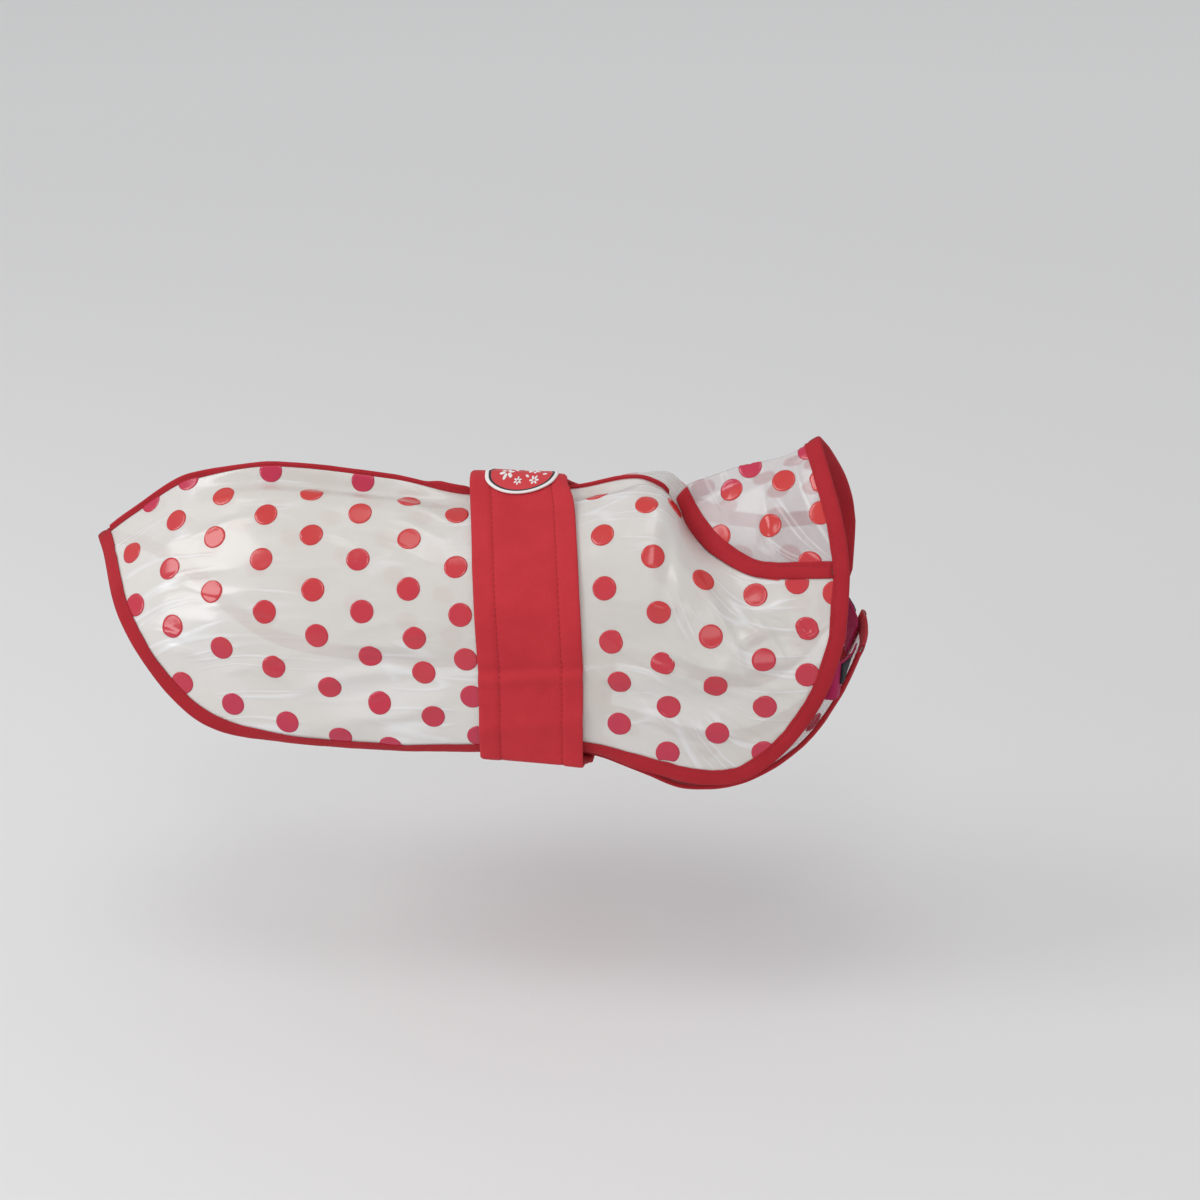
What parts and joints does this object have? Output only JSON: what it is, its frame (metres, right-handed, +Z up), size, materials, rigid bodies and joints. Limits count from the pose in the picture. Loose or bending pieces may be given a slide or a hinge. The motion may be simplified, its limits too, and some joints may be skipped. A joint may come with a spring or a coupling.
{
  "type": "dog raincoat",
  "caption": "Clear dotted dog raincoat with a folded collar, bound edges, a wide belt round the body and a bib under the chest, holding the hollow form it has when worn.",
  "frame": {"origin": "on the inside of the back, under the middle of the belt, where the wearer's back carries the coat", "axes": "+X towards the neck, +Z up, the wearer's right side at -Y"},
  "size_m": [0.4259, 0.1344, 0.1967],
  "materials": {
    "panel_right": "clear vinyl film with a milky tint and red dots",
    "panel_left": "clear vinyl film with a milky tint and red dots",
    "collar": "clear vinyl film with a milky tint and red dots",
    "bib": "clear vinyl film with a milky tint and red dots",
    "belt": "matte woven band with stitched edges",
    "edge_binding_right": "folded woven tape, stitched",
    "edge_binding_left": "folded woven tape, stitched",
    "spine_binding": "folded woven tape, stitched",
    "collar_binding": "folded woven tape, stitched",
    "bib_binding_right": "folded woven tape, stitched",
    "bib_binding_left": "folded woven tape, stitched",
    "bib_top_binding": "folded woven tape, stitched",
    "chest_tab_right": "woven tape",
    "chest_tab_left": "woven tape",
    "hook_patch_right": "hook-and-loop",
    "hook_patch_left": "hook-and-loop",
    "closure_patch": "hook-and-loop",
    "badge": "printed soft plastic oval"
  },
  "bodies": {
    "root": {"panel_right": "panel_right", "panel_left": "panel_left", "collar": "collar", "bib": "bib", "belt": "belt", "edge_binding_right": "edge_binding_right", "edge_binding_left": "edge_binding_left", "spine_binding": "spine_binding", "collar_binding": "collar_binding", "bib_binding_right": "bib_binding_right", "bib_binding_left": "bib_binding_left", "bib_top_binding": "bib_top_binding", "chest_tab_right": "chest_tab_right", "chest_tab_left": "chest_tab_left", "hook_patch_right": "hook_patch_right", "hook_patch_left": "hook_patch_left", "closure_patch": "closure_patch", "badge": "badge"}
  },
  "joints": []
}
